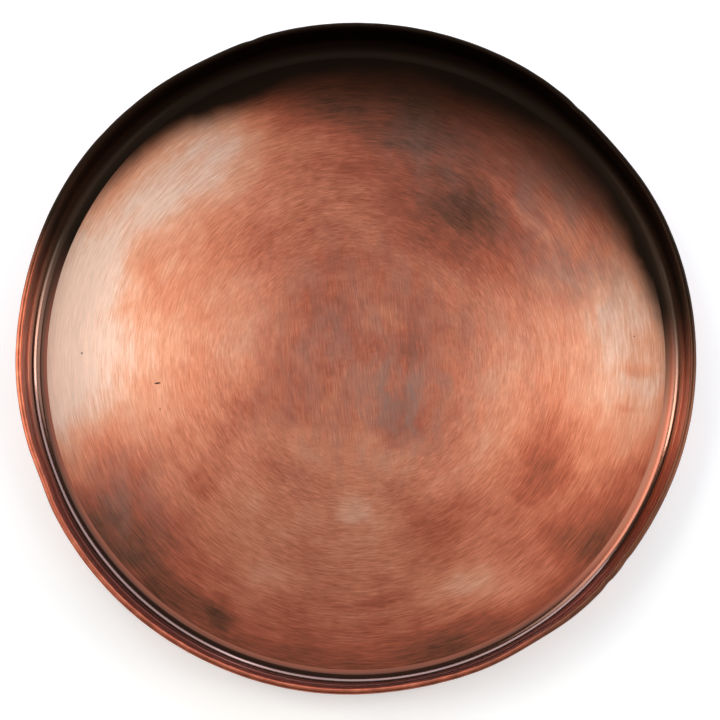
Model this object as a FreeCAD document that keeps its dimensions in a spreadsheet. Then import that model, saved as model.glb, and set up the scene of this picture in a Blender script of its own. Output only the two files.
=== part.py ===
"""Round copper tray: one raised sheet with a low wall, its edge rolled outwards round a steel wire.

Millimetres. +Z is up, the origin is the centre of the underside, and the axis of the tray is Z.
"""

import FreeCAD, Part

import math
import os

import Sketcher

# Driving dimensions. Lengths in millimetres, angles in degrees.
DIMENSIONS = {
    "outer_diameter": 450.0,
    "overall_height": 29.0,
    "sheet_thickness": 1.0,
    "corner_inner_radius": 12.5,
    "wall_flare": 4.0,
    "wire_diameter": 2.0,
    "wire_play": 0.05,
    "hem_tip_gap": 0.1,
    "wire_joint_gap": 0.6,
    "wire_joint_bearing": 185.0,
}

START, END, CENTRE = 1, 2, 3
X_AXIS, ORIGIN_POINT = -1, 1
FULL_TURN = 360.0

# Radii of the rolled edge, as expressions in the sheet's own names.
INSIDE_OF_ROLL = "(Sizes.wire_diameter / 2 + Sizes.wire_play)"
OUTSIDE_OF_ROLL = f"({INSIDE_OF_ROLL} + Sizes.sheet_thickness)"
ROLL_CENTRE_RADIUS = f"(Sizes.outer_diameter / 2 - {OUTSIDE_OF_ROLL})"
ROLL_CENTRE_HEIGHT = f"(Sizes.overall_height - {OUTSIDE_OF_ROLL})"


def point(radius, height):
    return FreeCAD.Vector(radius, height, 0)


def polar(centre, radius, degrees):
    turn = math.radians(degrees)
    return centre + point(radius * math.cos(turn), radius * math.sin(turn))


def line(start, end):
    return Part.LineSegment(start, end)


def arc(centre, radius, start_degrees, end_degrees):
    circle = Part.Circle(centre, FreeCAD.Vector(0, 0, 1), radius)
    return Part.ArcOfCircle(circle, math.radians(start_degrees), math.radians(end_degrees))


def make_sheet(document):
    """The driving dimensions, one row each: name, value."""
    sheet = document.addObject("Spreadsheet::Sheet", "Sizes")
    for row, (name, value) in enumerate(DIMENSIONS.items(), start=1):
        sheet.set(f"A{row}", name)
        sheet.set(f"B{row}", str(value))
        sheet.setAlias(f"B{row}", name)
    document.recompute()
    return sheet


def origin_plane(body, role):
    for feature in body.Origin.OriginFeatures:
        if feature.Role == role:
            return feature
    raise RuntimeError(f"{body.Label} has no {role}")


def upright_sketch(body, name):
    """A sketch in the body's XZ plane: its x is the radius, its y the height."""
    sketch = body.newObject("Sketcher::SketchObject", name)
    sketch.AttachmentSupport = (origin_plane(body, "XZ_Plane"), [""])
    sketch.MapMode = "FlatFace"
    return sketch


def bind(sketch, name, constraint, expression):
    """Add a named dimension to a sketch and drive it from the sheet."""
    index = sketch.addConstraint(constraint)
    sketch.renameConstraint(index, name)
    sketch.setExpression(f"Constraints.{name}", expression)


def pan_profile(body, sizes):
    """Closed section of the sheet: floor, corner, wall, and the roll round the wire."""
    thickness = sizes.sheet_thickness
    corner = sizes.corner_inner_radius
    flare = sizes.wall_flare
    roll_inside = sizes.wire_diameter / 2 + sizes.wire_play
    roll_outside = roll_inside + thickness
    roll = point(sizes.outer_diameter / 2 - roll_outside, sizes.overall_height - roll_outside)

    # The wall's inner face touches the inside of the corner and the outside of the roll.
    corner_height = thickness + corner
    lean = (roll.y - corner_height) * math.sin(math.radians(flare))
    corner_offset = (roll_outside + corner + lean) / math.cos(math.radians(flare))
    bend = point(roll.x - corner_offset, corner_height)

    # The roll starts where the wall ends and stops just short of the wall's outer face.
    roll_start = 180.0 - flare
    tip_angle = math.degrees(math.acos((roll_inside - sizes.hem_tip_gap) / roll_outside))
    roll_stop = tip_angle - flare - 180.0

    sketch = upright_sketch(body, "pan_section")
    underside = sketch.addGeometry(line(point(0, 0), point(bend.x, 0)))
    corner_outer = sketch.addGeometry(arc(bend, corner + thickness, -90.0, -flare))
    wall_outer = sketch.addGeometry(
        line(polar(bend, corner + thickness, -flare), polar(roll, roll_inside, roll_start))
    )
    roll_inner = sketch.addGeometry(arc(roll, roll_inside, roll_stop, roll_start))
    hem_tip = sketch.addGeometry(
        line(polar(roll, roll_outside, roll_stop), polar(roll, roll_inside, roll_stop))
    )
    roll_outer = sketch.addGeometry(arc(roll, roll_outside, roll_stop, roll_start))
    wall_inner = sketch.addGeometry(
        line(polar(bend, corner, -flare), polar(roll, roll_outside, roll_start))
    )
    corner_inner = sketch.addGeometry(arc(bend, corner, -90.0, -flare))
    floor_top = sketch.addGeometry(line(point(bend.x, thickness), point(0, thickness)))
    axis_edge = sketch.addGeometry(line(point(0, thickness), point(0, 0)))

    for first, first_end, second, second_end in (
        (underside, START, X_AXIS, ORIGIN_POINT),
        (roll_inner, START, hem_tip, END),
        (hem_tip, START, roll_outer, START),
        (roll_inner, CENTRE, roll_outer, CENTRE),
        (corner_inner, CENTRE, corner_outer, CENTRE),
        (floor_top, END, axis_edge, START),
        (axis_edge, END, underside, START),
    ):
        sketch.addConstraint(
            Sketcher.Constraint("Coincident", first, first_end, second, second_end)
        )
    for first, first_end, second, second_end in (
        (underside, END, corner_outer, START),
        (corner_outer, END, wall_outer, START),
        (wall_outer, END, roll_inner, END),
        (wall_inner, END, roll_outer, END),
        (corner_inner, END, wall_inner, START),
        (floor_top, START, corner_inner, START),
    ):
        sketch.addConstraint(
            Sketcher.Constraint("Tangent", first, first_end, second, second_end)
        )
    sketch.addConstraint(Sketcher.Constraint("Horizontal", underside))
    sketch.addConstraint(Sketcher.Constraint("Horizontal", floor_top))
    sketch.addConstraint(Sketcher.Constraint("Vertical", axis_edge))
    sketch.addConstraint(Sketcher.Constraint("PointOnObject", roll_inner, CENTRE, hem_tip))

    bind(
        sketch,
        "floor_gauge",
        Sketcher.Constraint("Distance", axis_edge, thickness),
        "Sizes.sheet_thickness",
    )
    bind(
        sketch,
        "corner_radius",
        Sketcher.Constraint("Radius", corner_inner, corner),
        "Sizes.corner_inner_radius",
    )
    bind(
        sketch,
        "roll_inner_radius",
        Sketcher.Constraint("Radius", roll_inner, roll_inside),
        INSIDE_OF_ROLL,
    )
    bind(
        sketch,
        "roll_outer_radius",
        Sketcher.Constraint("Radius", roll_outer, roll_outside),
        OUTSIDE_OF_ROLL,
    )
    bind(
        sketch,
        "roll_from_axis",
        Sketcher.Constraint("DistanceX", X_AXIS, ORIGIN_POINT, roll_outer, CENTRE, roll.x),
        ROLL_CENTRE_RADIUS,
    )
    bind(
        sketch,
        "roll_height",
        Sketcher.Constraint("DistanceY", X_AXIS, ORIGIN_POINT, roll_outer, CENTRE, roll.y),
        ROLL_CENTRE_HEIGHT,
    )
    bind(
        sketch,
        "wall_slope",
        Sketcher.Constraint("Angle", wall_inner, math.radians(90.0 - flare)),
        "90 deg - Sizes.wall_flare * 1 deg",
    )
    bind(
        sketch,
        "hem_tip_slope",
        Sketcher.Constraint("Angle", hem_tip, math.radians(tip_angle - flare)),
        f"acos(({INSIDE_OF_ROLL} - Sizes.hem_tip_gap) / {OUTSIDE_OF_ROLL})"
        " - Sizes.wall_flare * 1 deg",
    )
    return sketch


def make_tray_pan(document, sizes):
    """The copper sheet: a full turn of its section about the tray's axis."""
    body = document.addObject("PartDesign::Body", "TrayPan")
    body.Label = "tray_pan"
    section = pan_profile(body, sizes)
    turn = body.newObject("PartDesign::Revolution", "pan_revolution")
    turn.Profile = section
    turn.ReferenceAxis = (section, ["V_Axis"])
    turn.Angle = FULL_TURN
    body.Tip = turn
    return body


def make_rim_wire(document, sizes):
    """The steel wire in the rolled edge: a ring whose two ends nearly meet."""
    body = document.addObject("PartDesign::Body", "RimWire")
    body.Label = "rim_wire"
    wire_radius = sizes.wire_diameter / 2
    roll_outside = wire_radius + sizes.wire_play + sizes.sheet_thickness
    ring_radius = sizes.outer_diameter / 2 - roll_outside
    height = sizes.overall_height - roll_outside

    section = upright_sketch(body, "wire_section")
    round_wire = section.addGeometry(
        Part.Circle(point(ring_radius, height), FreeCAD.Vector(0, 0, 1), wire_radius)
    )
    bind(
        section,
        "wire_radius",
        Sketcher.Constraint("Radius", round_wire, wire_radius),
        "Sizes.wire_diameter / 2",
    )
    bind(
        section,
        "ring_radius",
        Sketcher.Constraint("DistanceX", X_AXIS, ORIGIN_POINT, round_wire, CENTRE, ring_radius),
        ROLL_CENTRE_RADIUS,
    )
    bind(
        section,
        "ring_height",
        Sketcher.Constraint("DistanceY", X_AXIS, ORIGIN_POINT, round_wire, CENTRE, height),
        ROLL_CENTRE_HEIGHT,
    )

    # The ring is centred on the sketch plane, so its joint lies half a turn from +X.
    ring = body.newObject("PartDesign::Revolution", "wire_ring")
    ring.Profile = section
    ring.ReferenceAxis = (section, ["V_Axis"])
    ring.Midplane = True
    ring.setExpression(
        "Angle",
        f"360 deg - Sizes.wire_joint_gap / {ROLL_CENTRE_RADIUS} * 180 deg / pi",
    )
    body.Tip = ring
    half_turn = FULL_TURN / 2
    turned = FreeCAD.Rotation(FreeCAD.Vector(0, 0, 1), sizes.wire_joint_bearing - half_turn)
    body.Placement = FreeCAD.Placement(FreeCAD.Vector(), turned)
    body.setExpression("Placement.Rotation.Angle", "Sizes.wire_joint_bearing - 180")
    return body


def check(document, bodies):
    """Stop before anything is written if a feature or a shape has failed."""
    for item in document.Objects:
        if "Invalid" in item.State or "Error" in item.State:
            raise RuntimeError(f"{item.Name} failed: {item.State}")
    for body in bodies:
        if body.Shape.isNull() or not body.Shape.isValid():
            raise RuntimeError(f"{body.Label} has no valid shape")
        if len(body.Shape.Solids) != 1:
            raise RuntimeError(f"{body.Label} is not one solid")


def main():
    document = FreeCAD.newDocument("copper_tray")
    sizes = make_sheet(document)
    bodies = [make_tray_pan(document, sizes), make_rim_wire(document, sizes)]
    document.recompute()
    check(document, bodies)

    os.makedirs("parts", exist_ok=True)
    for body in bodies:
        body.Shape.exportStep(f"parts/{body.Label}.step")
        box = body.Shape.optimalBoundingBox(False, False)
        print(
            f"{body.Label}: volume {body.Shape.Volume:.1f} mm3,"
            f" x {box.XMin:.2f}..{box.XMax:.2f},"
            f" y {box.YMin:.2f}..{box.YMax:.2f},"
            f" z {box.ZMin:.2f}..{box.ZMax:.2f}"
        )


main()
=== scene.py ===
"""Looks of a round copper tray, hand-raised from one sheet and wired at the rim.

Metres, in the CAD frame: the tray stands on z = 0 with its axis on Z. Bearings are in degrees
from +X towards +Y. The pan and its rim wire are rebuilt as meshes with the unevenness of hand
work, and their finish is made of procedural nodes.
"""

import math

import bpy
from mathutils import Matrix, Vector, noise


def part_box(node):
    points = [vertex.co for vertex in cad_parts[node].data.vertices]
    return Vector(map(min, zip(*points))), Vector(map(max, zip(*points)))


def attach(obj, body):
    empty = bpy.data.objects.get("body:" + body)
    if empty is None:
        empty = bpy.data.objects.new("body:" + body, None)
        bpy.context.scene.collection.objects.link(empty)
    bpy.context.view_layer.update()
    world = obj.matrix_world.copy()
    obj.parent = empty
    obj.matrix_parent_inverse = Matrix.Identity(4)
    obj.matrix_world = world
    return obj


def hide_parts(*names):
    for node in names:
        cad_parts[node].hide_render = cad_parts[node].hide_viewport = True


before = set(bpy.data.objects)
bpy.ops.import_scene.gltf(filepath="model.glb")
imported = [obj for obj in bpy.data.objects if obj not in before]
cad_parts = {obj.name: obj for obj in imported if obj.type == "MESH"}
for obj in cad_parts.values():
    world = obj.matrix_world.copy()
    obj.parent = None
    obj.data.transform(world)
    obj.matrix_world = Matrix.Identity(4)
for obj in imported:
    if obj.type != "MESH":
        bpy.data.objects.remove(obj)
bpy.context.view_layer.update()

MM = 0.001

# ---------------------------------------------------------------- sizes, from the CAD nodes

PAN_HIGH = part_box("tray_pan")[1]
WIRE_LOW, WIRE_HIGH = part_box("rim_wire")
OUTER_RADIUS = PAN_HIGH.x
HEIGHT = PAN_HIGH.z
WIRE_RADIUS = (WIRE_HIGH.z - WIRE_LOW.z) / 2
ROLL_HEIGHT = (WIRE_HIGH.z + WIRE_LOW.z) / 2
ROLL_OUTSIDE = HEIGHT - ROLL_HEIGHT
ROLL_RADIUS = OUTER_RADIUS - ROLL_OUTSIDE

# The CAD section's own figures, which its box doesn't give.
SHEET = 1.0 * MM
CORNER = 12.5 * MM
FLARE = math.radians(4.0)
HEM_TIP_GAP = 0.1 * MM
WIRE_JOINT_BEARING = 185.0
WIRE_JOINT_GAP = 0.6 * MM
ROLL_INSIDE = ROLL_OUTSIDE - SHEET

CORNER_HEIGHT = SHEET + CORNER
FLOOR_RADIUS = ROLL_RADIUS - (
    ROLL_OUTSIDE + CORNER + (ROLL_HEIGHT - CORNER_HEIGHT) * math.sin(FLARE)
) / math.cos(FLARE)

# ---------------------------------------------------------------- unevenness of the hand work

# Steps round the tray's axis. Inside the middle radius, a fan of faces closes each side.
SEGMENTS = 600
MIDDLE_RADIUS = 2.0 * MM

# Soft flats beaten into the rim, and its bulges: bearing, half width in degrees, depth in mm.
RIM_FLATS = (
    (40, 11, 2.3),
    (115, 7, 0.9),
    (145, 14, -1.1),
    (182, 7, -0.5),
    (200, 5, 1.2),
    (225, 12, -0.35),
    (280, 16, 1.6),
    (300, 7, 1.6),
    (325, 16, 1.0),
)
# Small knocks on the edge of the roll: bearing, half width in degrees, depth in mm.
RIM_KNOCKS = (
    (47, 1.0, 0.5),
    (107, 1.1, 0.6),
    (316, 0.9, 0.5),
    (321, 0.9, 0.5),
)
# Slow waves round the rim, sideways and up: height in mm, and the ring read in noise space.
RIM_WANDER = (0.25, 2.2)
RIM_SWELL = (0.5, 1.6)
# Puckers where the floor was stretched: bearing, radius in mm, width and length in mm, rise in mm.
FLOOR_PUCKERS = (
    (-3.8, 190, 3.4, 12, -0.40),
    (-12.3, 187, 2.6, 8, 0.36),
    (-7.0, 172, 9.0, 18, 0.12),
    (12.0, 186, 8.0, 16, 0.12),
    (24.0, 178, 9.0, 20, -0.14),
    (158.0, 182, 9.0, 18, 0.12),
    (170.0, 188, 7.0, 20, -0.12),
    (188.0, 180, 9.0, 18, 0.12),
    (203.0, 186, 8.0, 16, -0.14),
    (226.0, 183, 7.0, 16, 0.14),
    (318.0, 184, 8.0, 16, -0.12),
    (62.0, 184, 9.0, 16, 0.12),
    (95.0, 186, 8.0, 14, -0.12),
)
# The floor is dished: it rises from this radius out to the corner.
DISH_START = 120 * MM
DISH_RISE = 0.5 * MM
# Waves in the floor: length and height in mm. They level out over the last 3% of its radius.
BROAD_WAVE = (75, 0.14)
SHORT_WAVE = (22, 0.03)
LEVEL_FROM = 0.97 * FLOOR_RADIUS
# How far the floor stands up, in mm, so that no hollow of it goes below the tray's foot.
HOLLOW_ROOM = 0.18
# Facets that the hammer left in the wall: height and depth in mm, and the ring read in noise
# space, which gives more facets when it is larger.
FACET_HEIGHT = 9
FACET_DEPTH = 0.10
FACET_RING = 24
# A bell is as good as flat beyond this many half widths.
BELL_REACH = 4


def bell(distance, half_width):
    return math.exp(-((distance / half_width) ** 2))


def ease(value):
    value = min(max(value, 0.0), 1.0)
    return value * value * (3 - 2 * value)


def bearing_gap(first, second):
    return (first - second + 180.0) % 360.0 - 180.0


def ring_noise(bearing, ring, layer):
    """Noise read round a ring in noise space, so that it closes on itself.

    Each layer gives a pattern of its own.
    """
    turn = math.radians(bearing)
    return noise.noise(Vector((ring * math.cos(turn), ring * math.sin(turn), layer)))


def rim_pull(bearing):
    """How far the rim stands outside its true circle at a bearing, in metres."""
    depth, ring = RIM_WANDER
    pull = depth * ring_noise(bearing, ring, 3.7)
    for centre, half_width, depth in RIM_FLATS + RIM_KNOCKS:
        pull -= depth * bell(bearing_gap(bearing, centre), half_width)
    return pull * MM


def rim_lift(bearing):
    """How far the rim stands above its true height at a bearing, in metres."""
    height, ring = RIM_SWELL
    return height * MM * ring_noise(bearing, ring, 9.1)


def floor_wave(x, y, wave, layer):
    """Height in mm of one of the floor's waves."""
    length, height = wave
    length *= MM
    return height * noise.noise(Vector((x / length, y / length, layer)))


def floor_lift(radius, bearing):
    """Height of the beaten floor above its flat, in metres."""
    turn = math.radians(bearing)
    x, y = radius * math.cos(turn), radius * math.sin(turn)
    lift = DISH_RISE * ease((radius - DISH_START) / (FLOOR_RADIUS - DISH_START))
    fade = 1.0 - ease((radius - LEVEL_FROM) / (FLOOR_RADIUS - LEVEL_FROM))
    waves = HOLLOW_ROOM + floor_wave(x, y, BROAD_WAVE, 1.3) + floor_wave(x, y, SHORT_WAVE, 5.9)
    for centre, distance, width, length, rise in FLOOR_PUCKERS:
        aside = math.radians(bearing_gap(bearing, centre)) * radius / MM
        along = radius / MM - distance
        if abs(aside) < BELL_REACH * width and abs(along) < BELL_REACH * length:
            waves += rise * bell(aside, width) * bell(along, length)
    return lift + fade * waves * MM


def uneven(radius, height, bearing):
    """Where a point of the true section lies on the beaten tray."""
    up = ease((height - SHEET) / (HEIGHT - CORNER))
    inside = ease((FLOOR_RADIUS + CORNER - radius) / CORNER)
    facet = FACET_DEPTH * MM * ring_noise(bearing, FACET_RING, height / (FACET_HEIGHT * MM))
    out = up * (rim_pull(bearing) + facet)
    lift = up * rim_lift(bearing) + inside * floor_lift(min(radius, FLOOR_RADIUS), bearing)
    return radius + out, height + lift


# ---------------------------------------------------------------- meshes


def polar(centre, radius, degrees):
    turn = math.radians(degrees)
    return centre[0] + radius * math.cos(turn), centre[1] + radius * math.sin(turn)


def arc_points(centre, radius, start_degrees, stop_degrees, steps):
    swept = stop_degrees - start_degrees
    return [
        polar(centre, radius, start_degrees + swept * step / steps) for step in range(1, steps + 1)
    ]


def line_points(start, stop, steps):
    return [
        (
            start[0] + (stop[0] - start[0]) * step / steps,
            start[1] + (stop[1] - start[1]) * step / steps,
        )
        for step in range(1, steps + 1)
    ]


def pan_section():
    """The sheet's section from the middle of its top round to the middle of its underside.

    Gives its points, and the finish of each stretch from a point to the next. The last number
    of each call is how many points it adds.
    """
    flare = math.degrees(FLARE)
    bend = (FLOOR_RADIUS, CORNER_HEIGHT)
    roll = (ROLL_RADIUS, ROLL_HEIGHT)
    start = 180.0 - flare
    tip = math.degrees(math.acos((ROLL_INSIDE - HEM_TIP_GAP) / ROLL_OUTSIDE))
    stop = tip - flare - 180.0
    first = (MIDDLE_RADIUS, SHEET)
    wall_foot = polar(bend, CORNER, -flare)
    wall_top = polar(roll, ROLL_OUTSIDE, start)
    outer_wall_top = polar(roll, ROLL_INSIDE, start)
    outer_wall_foot = polar(bend, CORNER + SHEET, -flare)
    stretches = (
        ("floor", line_points(first, (FLOOR_RADIUS, SHEET), 52)),
        ("inside", arc_points(bend, CORNER, -90.0, -flare, 16)),
        ("inside", line_points(wall_foot, wall_top, 6)),
        ("rim", arc_points(roll, ROLL_OUTSIDE, start, stop, 24)),
        ("outside", [polar(roll, ROLL_INSIDE, stop)]),
        ("outside", arc_points(roll, ROLL_INSIDE, stop, start, 12)),
        ("outside", line_points(outer_wall_top, outer_wall_foot, 7)),
        ("outside", arc_points(bend, CORNER + SHEET, -flare, -90.0, 11)),
        ("outside", line_points((FLOOR_RADIUS, 0.0), (MIDDLE_RADIUS, 0.0), 26)),
    )
    section, finishes = [first], []
    for finish, points in stretches:
        section += points
        finishes += [finish] * len(points)
    return section, finishes


def new_object(name, vertices, faces):
    mesh = bpy.data.meshes.new(name)
    mesh.from_pydata(vertices, [], faces)
    mesh.update()
    mesh.shade_smooth()
    made = bpy.data.objects.new(name, mesh)
    bpy.context.scene.collection.objects.link(made)
    return made


def make_pan(materials):
    section, finishes = pan_section()
    vertices = []
    for step in range(SEGMENTS):
        bearing = 360.0 * step / SEGMENTS
        turn = math.radians(bearing)
        for radius, height in section:
            out, up = uneven(radius, height, bearing)
            vertices.append((out * math.cos(turn), out * math.sin(turn), up))
    count = len(section)
    faces, face_finishes = [], []
    for step in range(SEGMENTS):
        here, there = step * count, (step + 1) % SEGMENTS * count
        for row, finish in enumerate(finishes):
            faces.append((here + row, there + row, there + row + 1, here + row + 1))
            face_finishes.append(finish)
    # A fan closes the middle of each side.
    top, under = len(vertices), len(vertices) + 1
    vertices.append((0.0, 0.0, uneven(0.0, SHEET, 0.0)[1]))
    vertices.append((0.0, 0.0, uneven(0.0, 0.0, 0.0)[1]))
    for step in range(SEGMENTS):
        here, there = step * count, (step + 1) % SEGMENTS * count
        faces.append((top, there, here))
        faces.append((under, here + count - 1, there + count - 1))
        face_finishes += ["floor", "outside"]
    pan = new_object("copper_pan", vertices, faces)
    flip_if_inside_out(pan)
    slots = list(materials)
    for finish in slots:
        pan.data.materials.append(materials[finish])
    for face, finish in zip(pan.data.polygons, face_finishes):
        face.material_index = slots.index(finish)
    return pan


def flip_if_inside_out(made):
    """Turn the faces round if the closed mesh has a negative volume."""
    mesh = made.data
    volume = 0.0
    for face in mesh.polygons:
        corner = [mesh.vertices[index].co for index in face.vertices]
        for second, third in zip(corner[1:], corner[2:]):
            volume += corner[0].dot(second.cross(third)) / 6
    if volume < 0:
        mesh.flip_normals()


def make_wire():
    """The ring of wire in the roll, with its two cut ends a little apart."""
    sides = 12
    gap = math.degrees(WIRE_JOINT_GAP / ROLL_RADIUS)
    steps = SEGMENTS // 2
    vertices = []
    for step in range(steps + 1):
        bearing = WIRE_JOINT_BEARING + gap / 2 + (360.0 - gap) * step / steps
        turn = math.radians(bearing)
        centre_out, centre_up = uneven(ROLL_RADIUS, ROLL_HEIGHT, bearing)
        for side in range(sides):
            around = 2 * math.pi * side / sides
            out = centre_out + WIRE_RADIUS * math.cos(around)
            up = centre_up + WIRE_RADIUS * math.sin(around)
            vertices.append((out * math.cos(turn), out * math.sin(turn), up))
    faces = []
    for step in range(steps):
        here, there = step * sides, (step + 1) * sides
        for side in range(sides):
            after = (side + 1) % sides
            faces.append((here + side, here + after, there + after, there + side))
    faces.append(tuple(range(sides - 1, -1, -1)))
    faces.append(tuple(steps * sides + side for side in range(sides)))
    wire = new_object("rim_wire_ring", vertices, faces)
    flip_if_inside_out(wire)
    return wire


# ---------------------------------------------------------------- materials


class Graph:
    """A material's node tree, with short calls for the nodes that the finishes need."""

    def __init__(self, name, metallic=1.0):
        self.material = bpy.data.materials.new(name)
        self.material.use_nodes = True
        self.tree = self.material.node_tree
        self.tree.nodes.clear()
        output = self.tree.nodes.new("ShaderNodeOutputMaterial")
        self.shader = self.tree.nodes.new("ShaderNodeBsdfPrincipled")
        self.shader.inputs["Metallic"].default_value = metallic
        self.tree.links.new(self.shader.outputs["BSDF"], output.inputs["Surface"])

    def feed(self, socket, value):
        if isinstance(value, bpy.types.NodeSocket):
            self.tree.links.new(value, socket)
        else:
            socket.default_value = value

    def math(self, operation, first, second=0.0, third=0.0):
        node = self.tree.nodes.new("ShaderNodeMath")
        node.operation = operation
        for socket, value in zip(node.inputs, (first, second, third)):
            self.feed(socket, value)
        return node.outputs[0]

    def sum(self, first, second):
        return self.math("ADD", first, second)

    def blend(self, share, first, second):
        """First where share is 0, second where it is 1."""
        node = self.tree.nodes.new("ShaderNodeMix")
        for socket, value in zip(node.inputs, (share, None, first, second)):
            if value is not None:
                self.feed(socket, value)
        return node.outputs[0]

    def vector(self, operation, first, second=(0.0, 0.0, 0.0), output=0):
        node = self.tree.nodes.new("ShaderNodeVectorMath")
        node.operation = operation
        self.feed(node.inputs[0], first)
        self.feed(node.inputs[1], second)
        return node.outputs[output]

    def combine(self, x, y, z):
        node = self.tree.nodes.new("ShaderNodeCombineXYZ")
        for socket, value in zip(node.inputs, (x, y, z)):
            self.feed(socket, value)
        return node.outputs[0]

    def separate(self, vector):
        node = self.tree.nodes.new("ShaderNodeSeparateXYZ")
        self.feed(node.inputs[0], vector)
        return node.outputs

    def noise(self, vector, scale=1.0, detail=2.0, rough=0.5):
        node = self.tree.nodes.new("ShaderNodeTexNoise")
        self.feed(node.inputs["Vector"], vector)
        self.feed(node.inputs["Scale"], scale)
        self.feed(node.inputs["Detail"], detail)
        self.feed(node.inputs["Roughness"], rough)
        return node.outputs[0]

    def span(self, value, low, high, to_low=0.0, to_high=1.0, smooth=True):
        """Value from low..high onto to_low..to_high, clamped."""
        node = self.tree.nodes.new("ShaderNodeMapRange")
        node.interpolation_type = "SMOOTHSTEP" if smooth else "LINEAR"
        for socket, number in zip(node.inputs, (value, low, high, to_low, to_high)):
            self.feed(socket, number)
        return node.outputs[0]

    def spread(self, clouds, to_low, to_high):
        """Noise, which seldom leaves 0.3..0.7, onto to_low..to_high."""
        return self.span(clouds, 0.3, 0.7, to_low, to_high, smooth=False)

    def mix(self, share, first, second, blend="MIX"):
        """The first colour where share is 0, the second where it is 1."""
        node = self.tree.nodes.new("ShaderNodeMix")
        node.data_type = "RGBA"
        node.blend_type = blend
        self.feed(node.inputs["Factor"], share)
        self.feed(node.inputs[6], first)
        self.feed(node.inputs[7], second)
        return node.outputs[2]

    def bump(self, height, distance):
        node = self.tree.nodes.new("ShaderNodeBump")
        node.inputs["Distance"].default_value = distance
        self.feed(node.inputs["Height"], height)
        return node.outputs[0]

    def place(self):
        """Object coordinates in millimetres."""
        node = self.tree.nodes.new("ShaderNodeTexCoord")
        return self.vector("MULTIPLY", node.outputs["Object"], (1 / MM, 1 / MM, 1 / MM))


class Round:
    """Coordinates that follow the tray's rings, in millimetres."""

    def __init__(self, graph):
        self.graph = graph
        self.place = graph.place()
        self.x, self.y, self.z = graph.separate(self.place)
        self.flat = graph.combine(self.x, self.y, 0.0)
        self.radius = graph.vector("LENGTH", self.flat, output=1)
        self.heading = graph.vector("NORMALIZE", self.flat)

    def facing(self, bearing):
        """The cosine of the angle between a point's own bearing and this one."""
        turn = math.radians(bearing)
        towards = (math.cos(turn), math.sin(turn), 0.0)
        return self.graph.vector("DOT_PRODUCT", self.heading, towards, output=1)

    def away_from(self, x, y):
        """The distance, seen from above, to this point."""
        offset = self.graph.vector("SUBTRACT", self.flat, (x, y, 0.0))
        return self.graph.vector("LENGTH", offset, output=1)

    def rings(self, pitch, arc, shift=0.0):
        """Noise space with one feature per pitch outwards and per arc around, both in mm.

        A shift gives another pattern.
        """
        typical_radius = 130.0
        around = self.graph.separate(
            self.graph.vector("MULTIPLY", self.heading, (typical_radius / arc,) * 3)
        )
        out = self.graph.math("MULTIPLY", self.radius, 1.0 / pitch)
        return self.graph.combine(out, around[0], self.graph.math("ADD", around[1], shift))


# Copper, from freshly burnished down to burnt.
CLEAN = (0.97, 0.68, 0.54, 1.0)
BRIGHT = (0.93, 0.46, 0.295, 1.0)
WARM = (0.83, 0.30, 0.17, 1.0)
RED = (0.58, 0.155, 0.085, 1.0)
BROWN = (0.22, 0.085, 0.050, 1.0)
BLACK = (0.030, 0.014, 0.008, 1.0)
# The near-black of the painted shadow on the floor, of the painted shade on the far side and of
# the pits; and the dull film over the floor.
SHADE_AND_PIT_BLACK = (0.024, 0.014, 0.009, 1.0)
GREY_BROWN = (0.40, 0.235, 0.185, 1.0)
# Where each colour stands on the scale of tones.
COPPER_TONES = (
    (0.0, BLACK),
    (0.2, BROWN),
    (0.42, RED),
    (0.62, WARM),
    (0.82, BRIGHT),
    (1.0, CLEAN),
)

# Places on the floor: lighter ones that are partly wear and partly painted highlight, and stained
# ones. x, y, half width outwards and half length around in mm, and how much lighter or darker the
# copper is there.
WORN_AND_HIGHLIT = (
    (-105, 135, 34, 50, 0.36),
    (-178, 55, 30, 50, 0.14),
    (-80, 15, 20, 44, 0.15),
    (-180, 5, 34, 80, 0.16),
    (-204, 2, 26, 66, 0.28),
    (0, -75, 40, 160, 0.14),
    (-10, -135, 40, 100, 0.07),
    (-22, -118, 46, 60, 0.10),
    (-44, 122, 40, 54, 0.08),
    (-158, 88, 26, 40, 0.10),
    (95, -38, 20, 38, 0.12),
    (-5, -100, 12, 14, 0.14),
    (-60, -145, 14, 22, 0.12),
    (68, -152, 13, 26, 0.14),
    (174, 28, 22, 40, 0.14),
    (122, 85, 5, 60, 0.14),
    (15, 30, 12, 16, 0.09),
    (54, -92, 16, 26, 0.12),
    (-115, -20, 22, 50, 0.06),
    (-10, -60, 22, 60, 0.05),
)
STAINED = (
    (84, 122, 34, 48, 0.13),
    (100, 80, 28, 44, 0.11),
    (60, 150, 24, 44, 0.11),
    (20, 140, 26, 50, 0.06),
    (12, 174, 26, 90, 0.20),
    (88, -64, 44, 60, 0.10),
    (-150, -126, 28, 60, 0.10),
    (-30, 28, 26, 26, 0.07),
    (40, 4, 14, 18, 0.09),
    (30, -42, 20, 26, 0.18),
    (64, 98, 34, 42, 0.12),
    (-48, -80, 20, 28, 0.13),
    (-102, -80, 14, 18, 0.08),
    (-145, -118, 34, 52, 0.14),
    (-132, -148, 14, 60, 0.10),
    (-95, -167, 11, 16, 0.28),
    (70, -184, 12, 30, 0.14),
    (119, -68, 20, 34, 0.10),
    (168, -104, 18, 50, 0.12),
    (146, -96, 50, 66, 0.25),
    (150, 92, 60, 60, 0.16),
    (50, -110, 40, 40, 0.10),
    (150, -130, 26, 60, 0.12),
    (-112, -64, 32, 44, 0.10),
    (128, -58, 30, 44, 0.10),
    (-166, -84, 44, 56, 0.24),
    (188, -11, 14, 6, 0.13),
    (183, -40, 10, 3, 0.10),
)
# Places under a dull grey-brown film, in the same form.
DULL = (
    (1, 0, 105, 105, 0.55),
    (32, -34, 30, 34, 0.50),
    (150, 85, 50, 70, 0.75),
    (120, 10, 70, 60, 0.25),
    (60, 140, 36, 60, 0.40),
    (-160, -80, 44, 60, 0.45),
)
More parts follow.
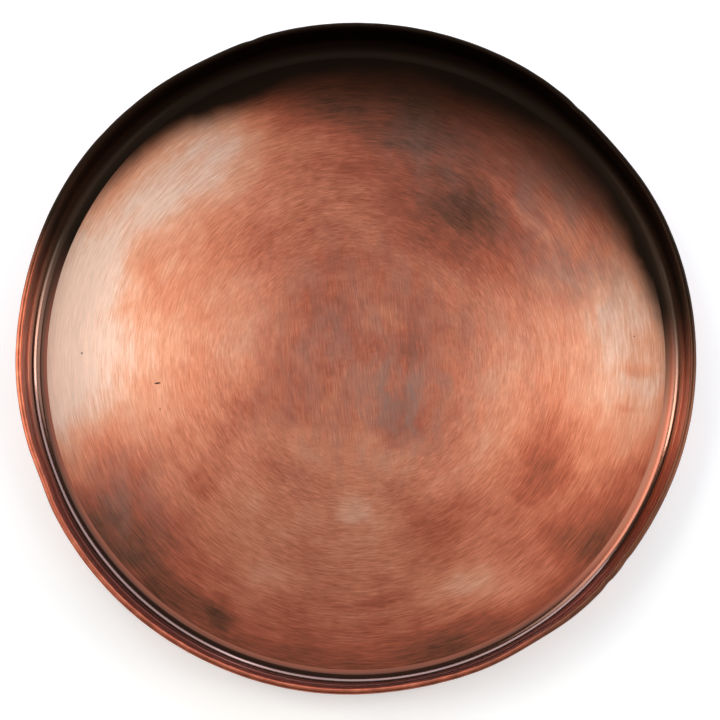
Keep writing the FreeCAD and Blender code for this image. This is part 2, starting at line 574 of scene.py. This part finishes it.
# Pits and short scratches, in the same form.
PITS = (
    (-184, 8, 0.8, 0.9, 0.7),
    (-133.5, -13.4, 2.6, 0.7, 0.95),
    (-132, -31, 0.6, 0.6, 0.8),
    (187, 11, 0.8, 0.6, 0.6),
)


def warped(graph, around):
    """The place, pushed about so that no patch has an even outline."""
    wave, push = 34.0, 26.0
    warp = graph.tree.nodes.new("ShaderNodeTexNoise")
    graph.feed(warp.inputs["Vector"], around.place)
    warp.inputs["Scale"].default_value = 1 / wave
    warp.inputs["Detail"].default_value = 3.0
    shift = graph.vector("SUBTRACT", warp.outputs["Color"], (0.5, 0.5, 0.5))
    return graph.vector("ADD", around.place, graph.vector("MULTIPLY", shift, (push, push, 0)))


def spots(graph, place, rows, inner=0.15, outer=1.35):
    """The sum of soft oval patches, each laid along the tray's rings.

    A patch is full as far as inner half widths from its centre, and gone at outer.
    """
    total = 0.0
    endless = 1000.0
    for x, y, outwards, length, strength in rows:
        node = graph.tree.nodes.new("ShaderNodeMapping")
        node.vector_type = "TEXTURE"
        graph.feed(node.inputs["Vector"], place)
        node.inputs["Location"].default_value = (x, y, 0.0)
        node.inputs["Rotation"].default_value = (0.0, 0.0, math.atan2(y, x))
        node.inputs["Scale"].default_value = (outwards, length, endless)
        away = graph.vector("LENGTH", node.outputs[0], output=1)
        total = graph.sum(graph.span(away, inner, outer, strength, 0.0), total)
    return total


def tray_tone(graph, around, place):
    """How light the copper is, from 0, burnt black, to 1, freshly burnished, with painted
    highlight laid in along the side lights' line.
    """
    # Partly rubbed, partly painted highlight: lighter towards the two ends of its width, along the
    # line of the side lights, and more so further out.
    middle, rub_and_highlight = 0.47, 0.36
    across = graph.math("POWER", graph.math("ABSOLUTE", around.facing(-7.0)), 2.6)
    ends = graph.math("MULTIPLY", across, graph.span(around.radius, 30, 190))
    tone = graph.math("MULTIPLY_ADD", ends, rub_and_highlight, third=middle)
    # Lighter patches, partly wear and partly painted highlight.
    tone = graph.sum(tone, spots(graph, place, WORN_AND_HIGHLIT))
    tone = graph.math("SUBTRACT", tone, spots(graph, place, STAINED))

    clouds = graph.noise(place, 1 / 60, 5.0, 0.58)
    swept = graph.noise(around.rings(7.0, 34.0), 1.0, 3.0, 0.6)
    tone = graph.sum(tone, graph.spread(clouds, -0.11, 0.11))
    tone = graph.sum(tone, graph.spread(swept, -0.05, 0.05))

    # Darker close to the corner on the near side.
    near_edge = graph.span(around.away_from(-2.0, 26.0), 206, 234, 1.0, 0.58)
    return graph.math("MULTIPLY", tone, near_edge)


def far_wall_shadow(graph, around, place):
    """1 where a painted shadow of the far wall lies black on the floor, in a crescent along its
    far edge.

    It lies outside a circle set off towards the near side. Its edge is sharp at the crescent's
    tips and soft in the middle, and wanders a little.
    """
    edge = 232.0
    ragged = graph.spread(graph.noise(place, 1 / 60, 3.0, 0.5), -4.0, 4.0)
    away = graph.sum(around.away_from(-14.0, -48.0), ragged)
    soft = graph.span(around.facing(65.15), 0.66, 1.0, 7.0, 24.0)
    start = graph.math("MULTIPLY_ADD", soft, -1.6, third=edge)
    return graph.span(away, start, graph.sum(soft, edge))


def far_side_shade(graph, around):
    """1 where painted shade makes the corner, the wall and the rim black, on the far side of the
    tray.
    """
    return graph.span(around.facing(81.4), -0.12, 0.30)


def copper_colour(graph, tone):
    """The colour of bare copper that is as light as this tone."""
    ramp = graph.tree.nodes.new("ShaderNodeValToRGB")
    stops = ramp.color_ramp.elements
    while len(stops) < len(COPPER_TONES):
        stops.new(0.5)
    for stop, (position, colour) in zip(stops, COPPER_TONES):
        stop.position = position
        stop.color = colour
    graph.feed(ramp.inputs[0], tone)
    return ramp.outputs[0]


def brushed_grain(graph, around):
    """Fine scratches: straight strokes in the middle, rings further out."""
    per_mm, lean, stroke_length = 1.35, 0.12, 15.0
    strokes = graph.combine(
        graph.math("MULTIPLY_ADD", around.y, lean, third=graph.math("MULTIPLY", around.x, per_mm)),
        graph.math("MULTIPLY", around.y, 1 / stroke_length),
        0.0,
    )
    straight = graph.noise(strokes, 1.0, 3.0, 0.65)
    ringed = graph.noise(around.rings(0.75, 9.0, 2.0), 1.0, 3.0, 0.65)
    return graph.blend(graph.span(around.radius, 35, 95), straight, ringed)


def dull_film(graph, place):
    """How thick the grey-brown film is: torn patches, longer from near to far than across."""
    width, length = 14.0, 34.0
    patches = graph.vector("MULTIPLY", place, (1 / width, 1 / length, 0.0))
    torn = graph.span(graph.noise(patches, 1.0, 5.0, 0.62), 0.30, 0.72, 0.15, 1.0)
    return graph.math("MULTIPLY", torn, spots(graph, place, DULL))


def floor_finish():
    """The satin floor: brushed, worn, stained, filmed over and pitted, with a painted highlight
    along the side lights' line and a painted shadow of the far wall along its far edge.
    """
    graph = Graph("copper_brushed_floor")
    around = Round(graph)
    grain = brushed_grain(graph, around)
    place = warped(graph, around)
    tone = graph.span(grain, 0.25, 0.75, -0.09, 0.09, smooth=False)
    tone = graph.sum(tray_tone(graph, around, place), tone)
    colour = graph.mix(dull_film(graph, place), copper_colour(graph, tone), GREY_BROWN)
    shade = graph.span(grain, 0.28, 0.72, 0.84, 1.06, smooth=False)
    colour = graph.mix(1.0, colour, graph.combine(shade, shade, shade), "MULTIPLY")
    # Painted shadow of the far wall: near-black along the floor's far edge.
    colour = graph.mix(far_wall_shadow(graph, around, place), colour, SHADE_AND_PIT_BLACK)
    colour = graph.mix(spots(graph, around.place, PITS, 0.6, 1.0), colour, SHADE_AND_PIT_BLACK)
    shader = graph.shader.inputs
    graph.feed(shader["Base Color"], colour)
    graph.feed(shader["Roughness"], graph.span(grain, 0.25, 0.75, 0.46, 0.54, smooth=False))
    # The rings spread a highlight outwards; in the middle the strokes cross and it is round.
    graph.feed(shader["Anisotropic"], graph.span(around.radius, 0, 150, 0.0, 0.66))
    graph.feed(shader["Tangent"], around.heading)
    graph.feed(shader["Normal"], graph.bump(grain, 0.004 * MM))
    return graph.material


def inside_finish():
    """The glossy dark corner, and the redder satin wall above it."""
    graph = Graph("copper_corner_and_wall")
    around = Round(graph)
    clouds = graph.noise(around.place, 1 / 40, 4.0, 0.6)
    fine = graph.noise(around.rings(1.0, 40.0, 2.0), 1.0, 3.0, 0.6)
    on_wall = graph.span(around.z, 6.0, 10.0)
    edge = FLOOR_RADIUS / MM
    polished, satin = 0.16, 0.42
    # On the right the floor's satin runs on into the corner.
    right = graph.span(around.facing(0.0), 0.5, 0.95)
    left_tone = graph.span(around.radius, edge, edge + 6, 0.36, 0.10)
    right_tone = graph.span(around.radius, edge + 1, edge + 8, 0.70, 0.16)
    corner_tone = graph.blend(right, left_tone, right_tone)
    tone = graph.blend(on_wall, corner_tone, graph.span(clouds, 0.3, 0.7, 0.30, 0.38))
    tone = graph.sum(tone, graph.span(fine, 0.25, 0.75, -0.04, 0.04, smooth=False))
    # Painted shade: the far side's corner and wall are made near-black.
    far_shade = far_side_shade(graph, around)
    shader = graph.shader.inputs
    graph.feed(shader["Base Color"], graph.mix(far_shade, copper_colour(graph, tone), SHADE_AND_PIT_BLACK))
    run_on = graph.span(around.radius, edge + 2, edge + 7, satin, polished)
    matt = graph.math("MAXIMUM", on_wall, far_shade)
    graph.feed(shader["Roughness"], graph.blend(matt, graph.blend(right, polished, run_on), satin))
    graph.feed(shader["Coat Weight"], graph.blend(far_shade, 1.0, 0.04))
    shader["Coat Roughness"].default_value = 0.06
    graph.feed(shader["Normal"], graph.bump(clouds, 0.15 * MM))
    return graph.material


def rim_finish():
    """The roll: a painted highlight along its crest, painted shade on its flanks."""
    graph = Graph("copper_rolled_rim")
    around = Round(graph)
    clouds = graph.noise(around.place, 1 / 14, 4.0, 0.6)
    top = HEIGHT / MM
    flank, crest = top - 2.6, top - 0.3
    # Painted highlight on the crest, painted shade on the flanks.
    tone = graph.span(around.z, flank, crest, 0.10, 0.44)
    tone = graph.sum(tone, graph.spread(clouds, -0.12, 0.12))
    # The roll is darker towards the right.
    tone = graph.math("MULTIPLY", tone, graph.span(around.facing(0.0), 0.1, 0.8, 1.0, 0.35))
    # Painted shade: the far side of the roll is made near-black.
    far_shade = far_side_shade(graph, around)
    shader = graph.shader.inputs
    graph.feed(shader["Base Color"], graph.mix(far_shade, copper_colour(graph, tone), SHADE_AND_PIT_BLACK))
    graph.feed(shader["Roughness"], graph.spread(clouds, 0.34, 0.46))
    graph.feed(shader["Normal"], graph.bump(clouds, 0.1 * MM))
    return graph.material


def outside_finish():
    """The outside and the underside: planished facets under a brown patina."""
    graph = Graph("copper_planished_outside")
    around = Round(graph)
    facet_size = 8.5
    facets = graph.tree.nodes.new("ShaderNodeTexVoronoi")
    graph.feed(facets.inputs["Vector"], around.place)
    facets.feature = "SMOOTH_F1"
    facets.inputs["Scale"].default_value = 1 / facet_size
    facets.inputs["Smoothness"].default_value = 0.35
    clouds = graph.noise(around.place, 1 / 45, 5.0, 0.6)
    tone = graph.span(clouds, 0.32, 0.68, 0.22, 0.46, smooth=False)
    worn = graph.span(facets.outputs["Distance"], 0.0, 0.6, 0.06, -0.04)
    shader = graph.shader.inputs
    graph.feed(shader["Base Color"], copper_colour(graph, graph.sum(tone, worn)))
    graph.feed(shader["Roughness"], graph.spread(clouds, 0.28, 0.42))
    graph.feed(shader["Normal"], graph.bump(facets.outputs["Distance"], 0.35 * MM))
    return graph.material


def wire_finish():
    """Drawn steel with spots of rust. The roll hides it."""
    steel, rusty = (0.36, 0.35, 0.34, 1.0), (0.20, 0.10, 0.06, 1.0)
    graph = Graph("steel_wire_drawn")
    rust = graph.span(graph.noise(graph.place(), 1 / 6, 4.0, 0.6), 0.45, 0.7)
    shader = graph.shader.inputs
    graph.feed(shader["Base Color"], graph.mix(rust, steel, rusty))
    graph.feed(shader["Roughness"], graph.span(rust, 0.0, 1.0, 0.35, 0.7))
    return graph.material


def stage_finish():
    """Matt and nearly white. It glows a little, to be as even as a lit table."""
    darker, lighter = (0.83, 0.83, 0.83, 1.0), (0.86, 0.86, 0.86, 1.0)
    graph = Graph("pale_floor", metallic=0.0)
    grain = graph.noise(graph.place(), 1 / 40, 4.0, 0.5)
    shader = graph.shader.inputs
    graph.feed(shader["Base Color"], graph.mix(grain, darker, lighter))
    shader["Roughness"].default_value = 0.9
    shader["Emission Color"].default_value = (1.0, 1.0, 1.0, 1.0)
    shader["Emission Strength"].default_value = 0.36
    return graph.material


# ---------------------------------------------------------------- studio


SKY = (0.68, 0.80, 1.0)
DAYLIGHT = (1.0, 0.97, 0.92)
# Windows round the tray: bearing and width in degrees, radiance, tint.
WINDOWS = (
    (-1, 26, 7.6, DAYLIGHT),
    (42, 58, 3.6, SKY),
    (100, 58, 4.1, SKY),
    (170, 30, 8.0, DAYLIGHT),
)
WINDOW_ELEVATION = 28.0
WINDOW_HEIGHT = 16.0
# Softboxes higher up, one on each side: bearing and width in degrees, radiance.
SOFTBOXES = ((-12, 44, 1.8), (160, 60, 2.3))
SOFTBOX_ELEVATION = 52.0
SOFTBOX_HEIGHT = 20.0
# The studio's walls look white, but send little light to the tray.
WALL_TINT = (1.0, 0.97, 0.95, 1.0)
WALL_LIGHT = 0.10
WALL_LOOK = 1.0


def make_stage():
    half = 30.0
    corners = [(-half, -half, 0.0), (half, -half, 0.0), (half, half, 0.0), (-half, half, 0.0)]
    floor = new_object("pale_floor", corners, [(0, 1, 2, 3)])
    floor.data.materials.append(stage_finish())


def softbox(name, bearing, elevation, width, height, radiance, tint=(1.0, 1.0, 1.0)):
    """A panel of light that faces the tray and that the camera doesn't see.

    Its place and its size are angles, in degrees, seen from the tray.
    """
    away = 3.0
    side = math.radians(bearing)
    rise = math.radians(elevation)
    towards = Vector(
        (math.cos(side) * math.cos(rise), math.sin(side) * math.cos(rise), math.sin(rise))
    )
    lamp = bpy.data.lights.new(name, "AREA")
    lamp.shape = "RECTANGLE"
    lamp.size = 2 * away * math.tan(math.radians(width) / 2)
    lamp.size_y = 2 * away * math.tan(math.radians(height) / 2)
    lamp.energy = radiance * math.pi * lamp.size * lamp.size_y
    lamp.color = tint
    made = bpy.data.objects.new(name, lamp)
    made.location = towards * away
    made.rotation_euler = (-towards).to_track_quat("-Z", "Y").to_euler()
    made.visible_camera = False
    bpy.context.scene.collection.objects.link(made)


def make_lights():
    for index, (bearing, width, radiance, tint) in enumerate(WINDOWS):
        name = f"window_{index}"
        softbox(name, bearing, WINDOW_ELEVATION, width, WINDOW_HEIGHT, radiance, tint)
    for index, (bearing, width, radiance) in enumerate(SOFTBOXES):
        name = f"softbox_{index}"
        softbox(name, bearing, SOFTBOX_ELEVATION, width, SOFTBOX_HEIGHT, radiance, DAYLIGHT)
    softbox("overhead", bearing=90.0, elevation=87.0, width=44.0, height=36.0, radiance=0.46)


def make_walls():
    world = bpy.data.worlds.new("studio")
    bpy.context.scene.world = world
    world.use_nodes = True
    backdrop = world.node_tree.nodes["Background"]
    backdrop.inputs["Color"].default_value = WALL_TINT
    path = world.node_tree.nodes.new("ShaderNodeLightPath")
    strength = world.node_tree.nodes.new("ShaderNodeMapRange")
    strength.inputs["To Min"].default_value = WALL_LIGHT
    strength.inputs["To Max"].default_value = WALL_LOOK
    world.node_tree.links.new(path.outputs["Is Camera Ray"], strength.inputs["Value"])
    world.node_tree.links.new(strength.outputs["Result"], backdrop.inputs["Strength"])


def make_camera():
    """A long lens above the tray, leaning a little to the near side, as in the photo."""
    tilt = math.radians(8.2)
    swing = math.radians(-1.3)
    distance = 1.75
    lens = bpy.data.cameras.new("camera")
    lens.sensor_width = 36.0
    lens.lens = 132.5
    lens.clip_start = 0.05
    lens.clip_end = 100.0
    camera = bpy.data.objects.new("camera", lens)
    aim = Vector((0.0024, -0.0048, HEIGHT))
    back = Vector(
        (math.sin(tilt) * math.sin(swing), -math.sin(tilt) * math.cos(swing), math.cos(tilt))
    )
    camera.location = aim + back * distance
    camera.rotation_euler = (-back).to_track_quat("-Z", "Y").to_euler()
    bpy.context.scene.collection.objects.link(camera)
    bpy.context.scene.camera = camera


# ---------------------------------------------------------------- assembly


def build():
    make_camera()
    make_lights()
    make_walls()
    make_stage()

    pan = make_pan(
        {
            "floor": floor_finish(),
            "inside": inside_finish(),
            "rim": rim_finish(),
            "outside": outside_finish(),
        }
    )
    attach(pan, "root")
    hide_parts("tray_pan")

    wire = make_wire()
    wire.data.materials.append(wire_finish())
    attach(wire, "root")
    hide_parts("rim_wire")


build()
bpy.context.scene.view_settings.view_transform = "Standard"
